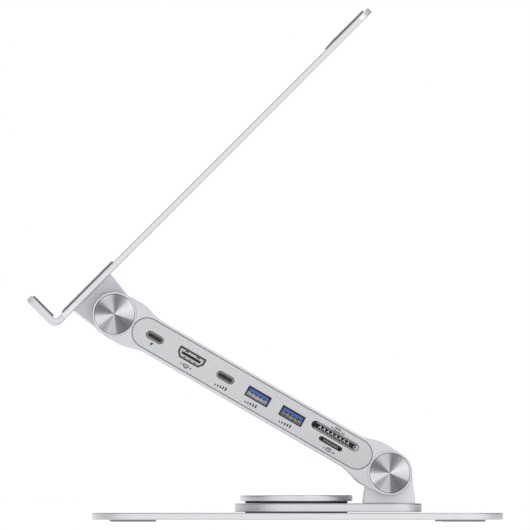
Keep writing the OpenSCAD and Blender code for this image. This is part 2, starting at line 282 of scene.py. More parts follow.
def prism_object(name, outer, holes, w0, w1, M):
    bm = bmesh.new()
    bm_plate(bm, outer, holes, w0, w1, M=M)
    me = to_mesh(bm, name)
    o = bpy.data.objects.new(name, me)
    bpy.context.scene.collection.objects.link(o)
    return o


def carve(name, base, cuts=(), joins=()):
    """base with cuts taken out and joins added, as one closed mesh."""
    for k, (cutter, op) in enumerate([(j, "UNION") for j in joins] + [(c, "DIFFERENCE") for c in cuts]):
        m = base.modifiers.new(f"b{k}", "BOOLEAN")
        m.operation = op
        m.object = cutter
        m.solver = "EXACT"
    dg = bpy.context.evaluated_depsgraph_get()
    me = bpy.data.meshes.new_from_object(base.evaluated_get(dg))
    me.name = name
    for o in [base, *cuts, *joins]:
        bpy.data.objects.remove(o)
    bm = bmesh.new()
    bm.from_mesh(me)
    bmesh.ops.remove_doubles(bm, verts=bm.verts, dist=1e-7)
    bmesh.ops.dissolve_limit(bm, angle_limit=math.radians(0.4), verts=bm.verts, edges=bm.edges, use_dissolve_boundaries=False)
    bm.to_mesh(me)
    bm.free()
    return me


def edged(o, width, segments=3, angle=30, edge_mat=None):
    """Rounds every sharp edge of o and keeps its flats flat."""
    m = o.modifiers.new("edges", "BEVEL")
    if edge_mat:
        o.data.materials.append(edge_mat)
        m.material = 1
    m.width = width * MM
    m.segments = segments
    m.limit_method = "ANGLE"
    m.angle_limit = math.radians(angle)
    m.miter_outer = "MITER_SHARP"
    m.use_clamp_overlap = True
    m.harden_normals = False
    o.data.shade_smooth()
    n = o.modifiers.new("normals", "WEIGHTED_NORMAL")
    n.keep_sharp = False
    n.weight = 90
    return o


# ------------------------------------------------------------------ materials
def new_material(name):
    m = bpy.data.materials.new(name)
    m.use_nodes = True
    nt = m.node_tree
    nt.nodes.clear()
    out = nt.nodes.new("ShaderNodeOutputMaterial")
    b = nt.nodes.new("ShaderNodeBsdfPrincipled")
    nt.links.new(b.outputs[0], out.inputs[0])
    return m, nt, b


def coords(nt):
    return nt.nodes.new("ShaderNodeTexCoord").outputs["Object"]


def noise(nt, vec, scale, detail=3.0, rough=0.5, stretch=None):
    if stretch:
        mp = nt.nodes.new("ShaderNodeMapping")
        mp.inputs["Scale"].default_value = stretch
        nt.links.new(vec, mp.inputs["Vector"])
        vec = mp.outputs[0]
    n = nt.nodes.new("ShaderNodeTexNoise")
    n.inputs["Scale"].default_value = scale
    n.inputs["Detail"].default_value = detail
    n.inputs["Roughness"].default_value = rough
    nt.links.new(vec, n.inputs["Vector"])
    return n.outputs["Fac"]


def remap(nt, value, a, b, lo, hi):
    m = nt.nodes.new("ShaderNodeMapRange")
    m.clamp = True
    for i, v in zip(("From Min", "From Max", "To Min", "To Max"), (a, b, lo, hi)):
        m.inputs[i].default_value = v
    nt.links.new(value, m.inputs["Value"])
    return m.outputs[0]


def mix(nt, fac, a, b, mode="MIX"):
    m = nt.nodes.new("ShaderNodeMix")
    m.data_type = "RGBA"
    m.blend_type = mode
    m.clamp_factor = True
    for sock, v in ((m.inputs[6], a), (m.inputs[7], b)):
        if isinstance(v, tuple):
            sock.default_value = (*v, 1)
        else:
            nt.links.new(v, sock)
    if isinstance(fac, float):
        m.inputs[0].default_value = fac
    else:
        nt.links.new(fac, m.inputs[0])
    return m.outputs[2]


def maths(nt, op, a, b=None):
    m = nt.nodes.new("ShaderNodeMath")
    m.operation = op
    for i, v in enumerate((a, b)):
        if v is None:
            continue
        if isinstance(v, (int, float)):
            m.inputs[i].default_value = v
        else:
            nt.links.new(v, m.inputs[i])
    return m.outputs[0]


def bump(nt, b, height, strength, distance):
    n = nt.nodes.new("ShaderNodeBump")
    n.inputs["Strength"].default_value = strength
    n.inputs["Distance"].default_value = distance
    nt.links.new(height, n.inputs["Height"])
    nt.links.new(n.outputs[0], b.inputs["Normal"])


def scale_rgb(c, k):
    return tuple(min(1.0, v * k) for v in c)


def anodised(name, col, rough=0.36, metallic=0.75, grain=2400, depth=0.000009, spread=0.02):
    """Bead-blasted, anodised aluminium: a fine grain in colour, gloss and surface, with faint broad clouding."""
    m, nt, b = new_material(name)
    v = coords(nt)
    fine = noise(nt, v, grain, 2, 0.6)
    coarse = noise(nt, v, grain / 4, 2, 0.5)
    broad = noise(nt, v, 30, 3, 0.5)
    c = mix(nt, remap(nt, fine, 0.3, 0.7, 0, 1), scale_rgb(col, 1 - spread), scale_rgb(col, 1 + spread))
    c = mix(nt, remap(nt, coarse, 0.4, 0.7, 0, 0.6), c, scale_rgb(col, 0.985))
    c = mix(nt, remap(nt, broad, 0.35, 0.65, 0, 0.5), c, scale_rgb(col, 0.97))
    nt.links.new(c, b.inputs["Base Color"])
    r = maths(nt, "ADD", remap(nt, fine, 0.3, 0.7, rough - 0.04, rough + 0.05), remap(nt, broad, 0.3, 0.7, -0.025, 0.035))
    nt.links.new(r, b.inputs["Roughness"])
    b.inputs["Metallic"].default_value = metallic
    bump(nt, b, maths(nt, "ADD", fine, maths(nt, "MULTIPLY", coarse, 0.6)), 0.16, depth)
    return m


def rubber(name, col, rough=0.72):
    m, nt, b = new_material(name)
    v = coords(nt)
    fine = noise(nt, v, 2600, 3, 0.65)
    broad = noise(nt, v, 60, 3, 0.5)
    c = mix(nt, remap(nt, fine, 0.3, 0.7, 0, 1), scale_rgb(col, 0.88), scale_rgb(col, 1.12))
    c = mix(nt, remap(nt, broad, 0.4, 0.7, 0, 0.5), c, scale_rgb(col, 1.18))
    nt.links.new(c, b.inputs["Base Color"])
    nt.links.new(remap(nt, broad, 0.3, 0.7, rough - 0.07, rough + 0.08), b.inputs["Roughness"])
    b.inputs["Specular IOR Level"].default_value = 0.35
    bump(nt, b, fine, 0.5, 0.00004)
    return m


def plastic(name, col, rough=0.5, grain=3000):
    m, nt, b = new_material(name)
    v = coords(nt)
    fine = noise(nt, v, grain, 2, 0.5)
    c = mix(nt, remap(nt, fine, 0.3, 0.7, 0, 1), scale_rgb(col, 0.95), scale_rgb(col, 1.05))
    nt.links.new(c, b.inputs["Base Color"])
    nt.links.new(remap(nt, fine, 0.3, 0.7, rough - 0.05, rough + 0.05), b.inputs["Roughness"])
    bump(nt, b, fine, 0.25, 0.00002)
    return m


def metal(name, col, rough=0.32, metallic=0.9, stretch=(1, 1, 30)):
    m, nt, b = new_material(name)
    v = coords(nt)
    fine = noise(nt, v, 900, 3, 0.6, stretch)
    c = mix(nt, remap(nt, fine, 0.3, 0.7, 0, 1), scale_rgb(col, 0.9), scale_rgb(col, 1.08))
    nt.links.new(c, b.inputs["Base Color"])
    nt.links.new(remap(nt, fine, 0.3, 0.7, rough - 0.08, rough + 0.1), b.inputs["Roughness"])
    b.inputs["Metallic"].default_value = metallic
    bump(nt, b, fine, 0.2, 0.00002)
    return m


def turned(name, light, dark, stops=None, rough=0.3, pitch=0.00022):
    """Spun metal: fine rings about the local Z axis. Given stops, a reflection in wedges by angle round the axis is
    painted into the base colour, between light and dark.
    """
    m, nt, b = new_material(name)
    v = coords(nt)
    sep = nt.nodes.new("ShaderNodeSeparateXYZ")
    nt.links.new(v, sep.inputs[0])
    x2 = maths(nt, "MULTIPLY", sep.outputs[0], sep.outputs[0])
    y2 = maths(nt, "MULTIPLY", sep.outputs[1], sep.outputs[1])
    radius = maths(nt, "SQRT", maths(nt, "ADD", x2, y2))
    comb = nt.nodes.new("ShaderNodeCombineXYZ")
    nt.links.new(radius, comb.inputs[0])
    rings = noise(nt, comb.outputs[0], 1 / pitch, 2, 0.7)
    rings_wide = noise(nt, comb.outputs[0], 900, 2, 0.6)
    if stops:
        grad = nt.nodes.new("ShaderNodeTexGradient")
        grad.gradient_type = "RADIAL"
        nt.links.new(v, grad.inputs[0])
        ramp = nt.nodes.new("ShaderNodeValToRGB")
        ramp.color_ramp.interpolation = "EASE"
        el = ramp.color_ramp.elements
        el[0].position, el[0].color = stops[0][0], (stops[0][1],) * 3 + (1,)
        el[1].position, el[1].color = stops[-1][0], (stops[-1][1],) * 3 + (1,)
        for p, c in stops[1:-1]:
            e = el.new(p)
            e.color = (c, c, c, 1)
        nt.links.new(grad.outputs["Fac"], ramp.inputs[0])
        # painted reflection: the light and dark wedges by angle, stirred by the turning rings
        painted_reflection = maths(nt, "ADD", ramp.outputs[0], remap(nt, rings, 0.25, 0.75, -0.05, 0.05))
        painted_reflection = maths(nt, "ADD", painted_reflection, remap(nt, rings_wide, 0.25, 0.75, -0.05, 0.05))
        c = mix(nt, painted_reflection, dark, light)
    else:
        c = mix(nt, remap(nt, rings_wide, 0.25, 0.75, 0.55, 1.0), dark, light)
    nt.links.new(c, b.inputs["Base Color"])
    nt.links.new(remap(nt, rings, 0.3, 0.7, rough - 0.06, rough + 0.08), b.inputs["Roughness"])
    b.inputs["Metallic"].default_value = 0.85
    bump(nt, b, rings, 0.5, 0.000025)
    return m


SILVER = anodised("silver_plate", (0.77, 0.775, 0.79), rough=0.33)
# a darker silver for the rounded rims: painted shade, a dark line along each edge
EDGE_SHADE_SILVER = anodised("edge_shade_silver", (0.56, 0.565, 0.59), rough=0.26, metallic=0.9, depth=0.00001)
# a lighter copy of the plate silver: painted light, to lift the turntable plate out of the shade round it
LIT_TURNTABLE_SILVER = anodised("lit_turntable_silver", (0.86, 0.87, 0.895), rough=0.3)
SILVER_ARM = anodised("silver_arm", (0.725, 0.73, 0.76), rough=0.38, metallic=0.6)
# a much darker silver for the arm's rounded rims: painted shade, a dark outline round the housing
EDGE_SHADE_ARM = anodised("edge_shade_arm", (0.42, 0.425, 0.45), rough=0.28, metallic=0.8, depth=0.00001)
BRACKET = anodised("silver_bracket", (0.70, 0.705, 0.735), rough=0.4, metallic=0.6, spread=0.03)
# a much lighter copy of the bracket silver: painted light, to lift the lower bracket out of the shade under the arm
LIT_LOWER_BRACKET = anodised("lit_lower_bracket_silver", (0.93, 0.935, 0.965), rough=0.38, metallic=0.6, spread=0.02)
# the brackets' rims in their own silver: painted shading, lighter than the upper bracket and darker than the lower one
EDGE_SHADING_BRACKET = anodised("edge_shading_bracket", (0.78, 0.785, 0.81), rough=0.28, metallic=0.85, depth=0.00001)
PANEL = anodised("grey_panel", (0.68, 0.685, 0.692), rough=0.5, metallic=0.2, grain=3000, spread=0.02)
# a darker grey for the rims of the panels and their openings: painted shade, also used for the painted shadow lines
# round the hinge rims
EDGE_SHADE_PANEL = anodised("edge_shade_panel", (0.42, 0.425, 0.435), rough=0.4, metallic=0.3, grain=3000, depth=0.00001)
POLISHED = anodised("polished_cap", (0.75, 0.76, 0.79), rough=0.2, metallic=0.95, grain=2600, depth=0.000008)
RIM = anodised("polished_rim", (0.74, 0.745, 0.77), rough=0.22, metallic=0.9, grain=2600, depth=0.000006)
RUBBER_DARK = rubber("dark_rubber", (0.085, 0.085, 0.095))
RUBBER_FEET = rubber("feet_rubber", (0.27, 0.27, 0.285))
RUBBER_GREY = rubber("grey_mat", (0.205, 0.205, 0.222), rough=0.66)
STEEL = metal("steel", (0.50, 0.51, 0.53))
CARD_LIGHT = metal("card_contact", (0.46, 0.46, 0.47), rough=0.4, metallic=0.6)
PORT_STEEL = metal("port_steel", (0.32, 0.32, 0.33), rough=0.36, metallic=0.75)
PORT_LIGHT = metal("port_light", (0.62, 0.62, 0.63), rough=0.4, metallic=0.6)
PORT_PALE = metal("port_pale", (0.55, 0.55, 0.56), rough=0.42, metallic=0.5)
# near black for the HDMI, USB-A and micro SD shells: painted shade, standing in for the shadowed gap round each opening
DARK_PORT_SHADE = metal("dark_port_shade", (0.06, 0.06, 0.065), rough=0.42, metallic=0.6)
BLACK = plastic("black_plastic", (0.018, 0.018, 0.02), rough=0.5)
for node in BLACK.node_tree.nodes:
    if node.type == "BSDF_PRINCIPLED":
        node.inputs["Specular IOR Level"].default_value = 0.2
BLUE = plastic("blue_plastic", (0.06, 0.13, 0.46), rough=0.42)
WHITE = plastic("white_plastic", (0.80, 0.80, 0.76), rough=0.45)
DISC = plastic("dark_plastic", (0.06, 0.06, 0.065), rough=0.5)
BOARD = plastic("circuit_board", (0.012, 0.09, 0.045), rough=0.35, grain=1200)
GOLD = metal("contacts", (0.60, 0.50, 0.36), rough=0.3)
INK = plastic("ink", (0.03, 0.03, 0.033), rough=0.6)
# painted reflection in wedges on the hinge caps: degrees counter-clockwise from local +X as seen from outside, and how
# light each is
PAINTED_REFLECTION = [
    (-180, 0.45), (-171, 0.84), (-149, 0.84), (-139, 0.42), (-130, 0.32), (-121, 0.42), (-110, 0.62), (-90, 0.58), (-79, 0.10), (-50, 0.02), (-26, 0.10),
    (-13, 0.74), (4, 0.86), (20, 0.98), (36, 0.88), (45, 0.62), (56, 0.28), (70, 0.12), (84, 0.07), (92, 0.26), (100, 0.54), (120, 0.62),
    (131, 0.52), (140, 0.20), (149, 0.05), (164, 0.08), (173, 0.20), (180, 0.45),
]
PAINTED_REFLECTION_STOPS = [((a + 180) / 360, v) for a, v in PAINTED_REFLECTION]
# the hinge caps' turned faces, with a reflection in wedges painted into their colour
CAP_PAINTED_REFLECTION = turned("turned_cap", (0.90, 0.905, 0.92), (0.155, 0.158, 0.168), PAINTED_REFLECTION_STOPS)
TURNED_PLAIN = turned("turned_top", (0.82, 0.825, 0.84), (0.68, 0.685, 0.70), None, rough=0.3, pitch=0.0004)

BY_SLOT = {
    "silver_plate": SILVER, "silver_bracket": BRACKET, "silver_arm": SILVER_ARM, "grey_panel": PANEL, "turned_cap": STEEL,
    "polished_cap": POLISHED, "dark_rubber": RUBBER_DARK, "grey_mat": RUBBER_GREY, "steel": STEEL, "port_steel": PORT_STEEL,
    "black_plastic": BLACK, "blue_plastic": BLUE, "white_plastic": WHITE, "dark_plastic": DISC, "circuit_board": BOARD,
}
SLOT_OF = {s["node"]: s["material_slot"] for s in frame["record"]["subparts"]}
for n, o in NODES.items():
    o.data.materials.clear()
    o.data.materials.append(BY_SLOT[SLOT_OF[n]])


def size(node, axis):
    lo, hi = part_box(node)
    return lo[axis] / MM, hi[axis] / MM


# ------------------------------------------------------------------ base
bx0, bx1 = size("base_plate", 0)
by0, by1 = size("base_plate", 1)
bz0, bz1 = size("base_plate", 2)
fx, fy, fr = 84.5, 83.0, size("base_feet", 0)[1] - 84.5
FEET = [(sx * fx, sy * fy) for sx in (-1, 1) for sy in (-1, 1)]
TRI = [(8 * math.cos(math.radians(a)), 8 * math.sin(math.radians(a))) for a in (0, 120, 240)]

plate("base_plate_body", rrect(bx0, by0, bx1, by1, 24, 24), [], bz0, bz1, SILVER, "base", "silver_plate",
      ["base_plate"], b0=0.4, b1=0.5, seg=5, edge_mat=EDGE_SHADE_SILVER)

bm = bmesh.new()
for x, y in FEET:
    prof = [(0, 0.12), (fr - 1.9, 0.12), (fr - 1.6, 0.0)] + rim(fr, 0.0, 0.3, up=False) + [(fr, 1.2), (0, 1.2)]
    bm_lathe(bm, prof, 72, WORLD @ Matrix.Translation((x, y, 0)))
smooth(link("base_feet_pads", to_mesh(bm, "base_feet_pads"), RUBBER_FEET, "base", ["base_feet"]), 40)


def ring_piece(name, r0, r1, z0, z1, mat, body, node, b=0.12):
    bm = bmesh.new()
    prof = [(r0, z0)] + rim(r1, z0, b, up=False) + rim(r1, z1, b) + [(r0, z1)]
    bm_lathe(bm, prof, 120, WORLD, closed=True)
    return smooth(link(name, to_mesh(bm, name), mat, body, [node]), 40)


z0, z1 = size("lower_friction_ring", 2)
ring_piece("lower_ring", 12.1, 26.4, z0, z1, RUBBER_DARK, "base", "lower_friction_ring", 0.08)
z0, z1 = size("upper_friction_ring", 2)
ring_piece("upper_ring", 12.1, 26.4, z0, z1, RUBBER_DARK, "base", "upper_friction_ring", 0.15)

# the round cap: polished rounded rim, and a turned dish in the top
cz0, cz1 = size("turntable_cap", 2)
cr = size("turntable_cap", 0)[1]
bm = bmesh.new()
prof = [(0, cz0)] + rim(cr, cz0, 0.3, up=False, n=3) + rim(cr, cz1, 0.7, n=6)
prof += [(cr - 4.6, cz1), (cr - 4.75, cz1 - 0.05), (cr - 5.1, cz1 - 0.38), (cr - 5.3, cz1 - 0.4), (0, cz1 - 0.4)]
bm_lathe(bm, prof, 160, Matrix.Diagonal((MM, MM, MM, 1)))
cap = link("turntable_cap_body", to_mesh(bm, "turntable_cap_body"), POLISHED, "base", ["turntable_cap"])
cap.data.materials.append(TURNED_PLAIN)
for p in cap.data.polygons:
    if p.center.z > (cz1 - 0.45) * MM and p.normal.z > 0.95:
        p.material_index = 1
smooth(cap, 30)

# ------------------------------------------------------------------ turntable
tz0, tz1 = size("turntable_plate", 2)
tx0, tx1 = size("turntable_plate", 0)
R = -tx0
outline = clean(
    arc(0, 0, R, 90, 270, 64) + arc(tx1 - 15, -R + 15, 15, -90, 0, 24) + arc(tx1 - 15, R - 15, 15, 0, 90, 24)
)
# the turntable plate takes the lighter silver copy: painted light
plate("turntable_plate_body", outline, [circle(0, 0, 15.02, 96)], tz0, tz1, LIT_TURNTABLE_SILVER, "turntable", "silver_plate",
      ["turntable_plate"], b0=0.35, b1=0.7, seg=6, hole_bevel=(0.2, 0.2), hole_seg=2, edge_mat=EDGE_SHADE_SILVER)


def bracket_outline(h, kr=11.3, foot=13.25, step=2.0):
    """Round knuckle about the origin, running straight into a foot at y = -h with soft shoulders."""
    sh = (foot, -h + step)
    a = math.atan2(sh[1], sh[0]) + math.acos(kr / math.hypot(*sh))
    t = (kr * math.cos(a), kr * math.sin(a))
    up = arc(0, 0, kr, math.degrees(a), 180 - math.degrees(a), 64)
    # the shoulder between flank and foot is rounded with a short curve
    near = (sh[0] + (t[0] - sh[0]) * 0.12, sh[1] + (t[1] - sh[1]) * 0.12)
    far = (foot, -h + 0.9)
    curve = []
    for k in range(9):
        f = k / 8
        curve.append(tuple((1 - f) ** 2 * n + 2 * f * (1 - f) * c + f * f * e for n, c, e in zip(near, sh, far)))
    right = curve + [(foot, -h)]
    left = [(-x, y) for x, y in reversed(right)]
    return ccw(clean(up + left[::-1] + right[::-1]))


def bracket(name, M, h, body, node, mat):
    y = 19.9
    bm = bmesh.new()
    bm_plate(bm, bracket_outline(h), [circle(0, 0, 4.04, 48)], -y, y, b0=0.3, b1=0.3, seg=4, hole_bevel=(0.1, 0.1), hole_seg=1, M=M @ SIDE, edge=1)
    o = link(name, to_mesh(bm, name), mat, body, [node])
    o.data.materials.append(EDGE_SHADING_BRACKET)
    return smooth(o, 40)


# the lower bracket takes the lighter copy: painted light
bracket("lower_bracket_body", frame_at(LOW, (1, 0), (0, 1)), LOW.z - tz1, "turntable", "lower_bracket", LIT_LOWER_BRACKET)
bracket("upper_bracket_body", frame_at(TOP, (-R2, -R2), (R2, -R2)), 16.1, "tray", "upper_bracket", BRACKET)

# ------------------------------------------------------------------ arm housing
HALF_W = 30.0
FORK = 20.4
EAR, BULGE, HALF = 11.5, 12.0, 9.1


def head_w(x):
    if x < 9:
        return EAR + (BULGE - EAR) * math.sin(math.radians(10 * x))
    return BULGE - (BULGE - HALF) * (1 - math.cos(math.radians(12 * (x - 9)))) / 2


def arm_outline():
    xs = [0.75 * i for i in range(33)]
    pts = [(EAR * math.cos(math.radians(a)), EAR * math.sin(math.radians(a))) for a in range(267, 92, -3)]
    pts += [(x, head_w(x)) for x in xs]
    pts += [(ARM_L - x, head_w(x)) for x in xs[::-1]]
    pts += [(ARM_L + EAR * math.cos(math.radians(a)), EAR * math.sin(math.radians(a))) for a in range(87, -88, -3)]
    pts += [(ARM_L - x, -head_w(x)) for x in xs]
    pts += [(x, -head_w(x)) for x in xs[::-1]]
    return ccw(clean(pts))


def stadium(r, n=40):
    e = 19.4
    return clean(arc(ARM_L - e, 0, r, -90, 90, n) + arc(e, 0, r, 90, 270, n))


def fork_gap():
    """Opening for a bracket about the upper hinge, wide on the side that the bracket swings to."""
    r = 11.8
    a = math.degrees(math.acos(5 / r))
    low = arc(0, 0, r, -a, 0, 16)
    return clean([(-20, -20), (5, -20)] + low + [(13.8, 0.0), (13.8, 20), (-20, 20)])


def flip(loop):
    return [(ARM_L - x, -y) for x, y in loop]


AS = ARM @ SIDE
cuts = []
for side in (-1, 1):
    a, b = (26.0 + 1.5, 40.0)
    lo, hi = (a, b) if side > 0 else (-b, -a)
    cuts.append(prism_object("c", stadium(8.0), [], lo, hi, AS))
    lo, hi = (21.6, 27.6) if side > 0 else (-27.6, -21.6)
    cuts.append(prism_object("c", stadium(6.9), [], lo, hi, AS))
    for cx in (0, ARM_L):
        lo, hi = (28.4, 40) if side > 0 else (-40, -28.4)
        cuts.append(prism_object("c", circle(cx, 0, 10.5, 96), [], lo, hi, AS))
        lo, hi = (24.2, 28.5) if side > 0 else (-28.5, -24.2)
        cuts.append(prism_object("c", circle(cx, 0, 8.2, 64), [], lo, hi, AS))
for cx in (0, ARM_L):
    cuts.append(prism_object("c", circle(cx, 0, 4.02, 48), [], -26, 26, AS))
cuts.append(prism_object("c", [(16, -6.9), (ARM_L - 16, -6.9), (ARM_L - 16, 6.9), (16, 6.9)], [], -21.7, 21.7, AS))
cuts.append(prism_object("c", fork_gap(), [], -FORK, FORK, AS))
cuts.append(prism_object("c", flip(fork_gap()), [], -FORK, FORK, AS))
me = carve("arm_housing_body", prism_object("arm_base", arm_outline(), [], -HALF_W, HALF_W, AS), cuts)
me.materials.clear()
housing = link("arm_housing_body", me, SILVER_ARM, "arm", ["arm_housing"])
# the bevels take the darker rim silver: painted shade along every edge
edged(housing, 0.5, 4, edge_mat=EDGE_SHADE_ARM)

# ------------------------------------------------------------------ panels and sockets
FACE = 29.9
PORT = 29.8
C1, HD, C2, A1, A2, SD, TF = (24.1, 0), (45.4, 0.4), (65.9, 0.2), (85.3, 0.25), (105.5, 0.25), (129.9, 2.4), (129.9, -2.2)


def hdmi(p, extra=0.0, r=0.45):
    w, h = 7.5 + extra, 2.75 + extra
    pts = [(-w, h), (-w, -0.35), (-w + 2.1, -h), (w - 2.1, -h), (w, -0.35), (w, h)]
    return [(p[0] + x, p[1] + y) for x, y in rounded(pts, r, 4)]


def usb_a(p, extra=0.0, r=0.35):
    w, h = 6.55 + extra, 2.7 + extra
    return rrect(p[0] - w, p[1] - h, p[0] + w, p[1] + h, r, 4)


def usb_c(p, extra=0.0):
    return pill(*p, 9.7 + 2 * extra, 3.7 + 2 * extra, 12)


front_holes = [usb_c(C1, 0.1), hdmi(HD, 0.1), usb_c(C2, 0.1), usb_a(A1, 0.1), usb_a(A2, 0.1),
               pill(*SD, 27.5, 4.15, 14), pill(*TF, 13.4, 2.4, 12)]
plate("port_panel_body", stadium(7.65), front_holes, 27.5, FACE, PANEL, "arm", "grey_panel", ["port_panel"], M=AS,
      b0=0.1, b1=0.22, seg=3, hole_bevel=(0.05, 0.12), hole_seg=2, edge_mat=EDGE_SHADE_PANEL)
plate("rear_panel_body", stadium(7.65), [usb_c(C1, 0.1)], -FACE, -27.5, PANEL, "arm", "grey_panel", ["rear_panel"], M=AS,
      b0=0.22, b1=0.1, seg=3, hole_bevel=(0.12, 0.05), hole_seg=2, edge_mat=EDGE_SHADE_PANEL)


def shell(name, outer, inner, deep, wall, mat, node, M=AS, lip=0.18):
    """A socket's metal shell: rounded front rim, hollow, closed at the back. Local +Z points out of the arm."""
    bm = bmesh.new()
    bm_plate(bm, outer, [inner], PORT - deep, PORT, b0=0.0, b1=lip, seg=3, M=M)
    bm2 = bmesh.new()
    bm_plate(bm2, inset(ccw(inner), -0.02), [], PORT - deep, PORT - deep + wall, M=M)
    tmp = bpy.data.meshes.new("t")
    bm2.to_mesh(tmp)
    bm2.free()
    bm.from_mesh(tmp)
    bpy.data.meshes.remove(tmp)
    return smooth(link(name, to_mesh(bm, name), mat, "arm", [node]), 40)


def box_bm(bm, x0, x1, y0, y1, w0, w1, M, b=0.08, r=0.12):
    bm_plate(bm, rrect(x0, y0, x1, y1, min(r, (x1 - x0) / 2.2, (y1 - y0) / 2.2), 3), [], w0, w1, b0=0.0, b1=b, seg=2, M=M)


BACK = ARM @ Matrix(((1, 0, 0, 0), (0, 0, 1, 0), (0, -1, 0, 0), (0, 0, 0, 1)))  # the same, facing +Y; Y drawn upside down


def usb_c_socket(name, p, node, M):
    # the far socket fills its opening, so that no light comes through the arm
    outer = inset(usb_c(p), 0.12 if M is AS else 0.01)
    inner = inset(usb_c(p), 0.72)
    shell(name, outer, inner, 8, 0.5, PORT_STEEL, node, M)


usb_c_socket("usb_c_power_shell", C1, "usb_c_power_port", AS)
usb_c_socket("usb_c_data_shell", C2, "usb_c_data_port", AS)
usb_c_socket("usb_c_host_shell", C1, "usb_c_host_port", BACK)
bm = bmesh.new()
for p, M in ((C1, AS), (C2, AS), (C1, BACK)):
    box_bm(bm, p[0] - 3.3, p[0] + 3.3, p[1] - 0.33, p[1] + 0.33, PORT - 7.5, PORT - 0.75, M)
smooth(link("usb_c_tongue_set", to_mesh(bm, "usb_c_tongue_set"), BLACK, "arm", ["usb_c_tongues"]), 40)
bm = bmesh.new()
for p, M in ((C1, AS), (C2, AS), (C1, BACK)):
    for k in range(12):
        x = p[0] - 2.75 + 0.5 * k
        for s in (-1, 1):
            y = p[1] + s * 0.335
            box_bm(bm, x - 0.12, x + 0.12, y - 0.03, y + 0.03, PORT - 5, PORT - 0.95, M, b=0.01, r=0.01)
smooth(link("usb_c_contacts", to_mesh(bm, "usb_c_contacts"), GOLD, "arm"), 40)

# the HDMI shell is near black: painted shade round its opening
shell("hdmi_shell", inset(ccw(hdmi(HD)), 0.02), inset(ccw(hdmi(HD)), 0.55), 11.5, 0.5, DARK_PORT_SHADE, "hdmi_port", AS, lip=0.12)


def boxes(p, spots):
    return [rrect(p[0] + x - w / 2, p[1] + y - h / 2, p[0] + x + w / 2, p[1] + y + h / 2, min(w, h) * 0.3, 2) for x, y, w, h in spots]


# the moulded insert behind the mouth of the HDMI socket, with the slot round its tongue and the latch notches; set
# shallow and pale, lightened against the shade inside the shell: painted light
bm = bmesh.new()
bm_plate(bm, inset(ccw(hdmi(HD)), 0.58), [pill(HD[0], HD[1] + 0.05, 11.0, 1.3, 8)] + boxes(HD, [
    (-3.3, 1.62, 2.0, 0.5), (3.3, 1.62, 2.0, 0.5), (-3.0, -1.6, 1.1, 0.45), (0, -1.6, 1.1, 0.45), (3.0, -1.6, 1.1, 0.45)]),
    PORT - 3.0, PORT - 0.75, b1=0.1, seg=2, hole_bevel=(0, 0.08), hole_seg=2, M=AS)
smooth(link("hdmi_insert", to_mesh(bm, "hdmi_insert"), PORT_PALE, "arm"), 40)
bm = bmesh.new()
box_bm(bm, HD[0] - 5.5, HD[0] + 5.5, HD[1] - 0.5, HD[1] + 0.5, PORT - 11, PORT - 0.8, AS)
smooth(link("hdmi_tongue_body", to_mesh(bm, "hdmi_tongue_body"), BLACK, "arm", ["hdmi_tongue"]), 40)


def leaf_bm(bm, cx, half, y0, y1, M, up=True):
    """A bent spring leaf on the inner wall of a shell, from y0 at the mouth to y1 at its crest."""
    t = 0.12
    path = [(PORT - 0.5, y0), (PORT - 1.2, y0 + (y1 - y0) * 0.25), (PORT - 2.3, y0 + (y1 - y0) * 0.85), (PORT - 2.9, y1),
            (PORT - 3.6, y1 - (y1 - y0) * 0.1), (PORT - 5.2, y0 + (y1 - y0) * 0.4), (PORT - 6.0, y0 + (y1 - y0) * 0.05)]
    s = 1 if y1 > y0 else -1
    rows = []
    for w, y in path:
        rows.append([bm.verts.new(M @ Vector((cx + dx, y + dy, w))) for dx, dy in ((-half, 0), (half, 0), (half, -s * t), (-half, -s * t))])
    for a, b in zip(rows, rows[1:]):
        for i in range(4):
            j = (i + 1) % 4
            bm.faces.new((a[i], a[j], b[j], b[i]))
    bm.faces.new(rows[0])
    bm.faces.new(rows[-1][::-1])


bm = bmesh.new()
for p in (A1, A2):
    for dx in (-3.1, 3.1):
        leaf_bm(bm, p[0] + dx, 2.2, p[1] - 2.3, p[1] - 1.35, AS)
smooth(link("socket_springs", to_mesh(bm, "socket_springs"), PORT_LIGHT, "arm"), 40)

for k, p in ((1, A1), (2, A2)):
    # the USB-A shells are near black: painted shade round their openings
    shell(f"usb_a_shell_{k}", inset(usb_a(p), 0.08), inset(usb_a(p), 0.42), 14, 0.5, DARK_PORT_SHADE, f"usb_a_port_{k}", AS, lip=0.1)
bm = bmesh.new()
for p in (A1, A2):
    box_bm(bm, p[0] - 5.85, p[0] + 5.85, p[1] + 0.15, p[1] + 2.1, PORT - 13.5, PORT - 0.7, AS, b=0.15, r=0.2)
smooth(link("usb_a_tongue_set", to_mesh(bm, "usb_a_tongue_set"), BLUE, "arm", ["usb_a_tongues"]), 40)
bm = bmesh.new()
for p in (A1, A2):
    for dx in (-3.5, -1.2, 1.2, 3.5):
        box_bm(bm, p[0] + dx - 0.45, p[0] + dx + 0.45, p[1] - 0.3, p[1] + 0.5, PORT - 9, PORT - 0.6, AS, b=0.08, r=0.12)
smooth(link("usb_a_contacts", to_mesh(bm, "usb_a_contacts"), BLACK, "arm"), 40)
